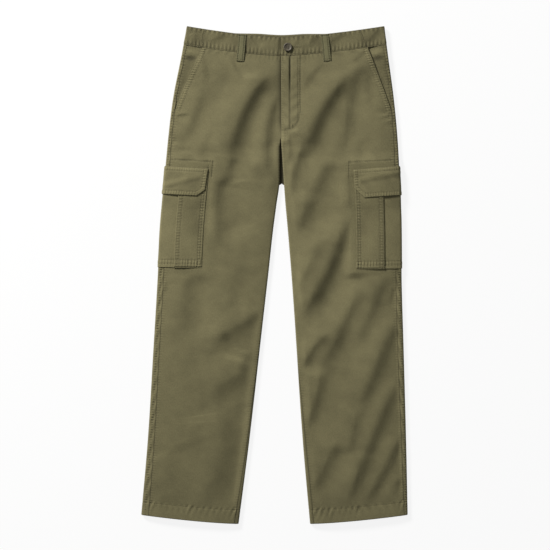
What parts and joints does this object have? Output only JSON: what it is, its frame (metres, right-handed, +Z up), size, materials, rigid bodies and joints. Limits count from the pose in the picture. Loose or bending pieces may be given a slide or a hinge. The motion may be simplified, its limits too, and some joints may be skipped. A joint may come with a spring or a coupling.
{
  "type": "cargo pants",
  "caption": "Cotton twill cargo trousers laid flat, front up: straight legs, slanted front pockets, a pleated and flapped pocket on each thigh, belt loops and a buttoned waistband.",
  "frame": {"origin": "centre of the garment's box, at the surface that it lies on", "axes": "+Y from the hems to the waist, +Z up out of the front, +X towards the wearer's left side"},
  "size_m": [0.5856, 1.093, 0.0176],
  "materials": {
    "twill": "washed olive khaki cotton twill",
    "twill_back": "washed olive khaki cotton twill, in shade",
    "waistband": "stiffened olive khaki cotton twill",
    "pocket_cloth": "olive khaki cotton twill, a little lighter and worn",
    "button": "dished grey-brown button with a worn satin rim"
  },
  "bodies": {
    "root": {"front_right": "twill", "back_right": "twill_back", "pocket_facing_right": "pocket_cloth", "cargo_pocket_right": "pocket_cloth", "cargo_flap_right": "pocket_cloth", "waistband_front_right": "waistband", "belt_loop_front_right": "waistband", "front_left": "twill", "back_left": "twill_back", "pocket_facing_left": "pocket_cloth", "cargo_pocket_left": "pocket_cloth", "cargo_flap_left": "pocket_cloth", "waistband_front_left": "waistband", "belt_loop_front_left": "waistband", "fly_shield": "twill", "waistband_back": "waistband", "belt_loop_back_centre": "waistband", "belt_loop_back_right": "waistband", "belt_loop_back_left": "waistband", "button": "button"}
  },
  "joints": []
}
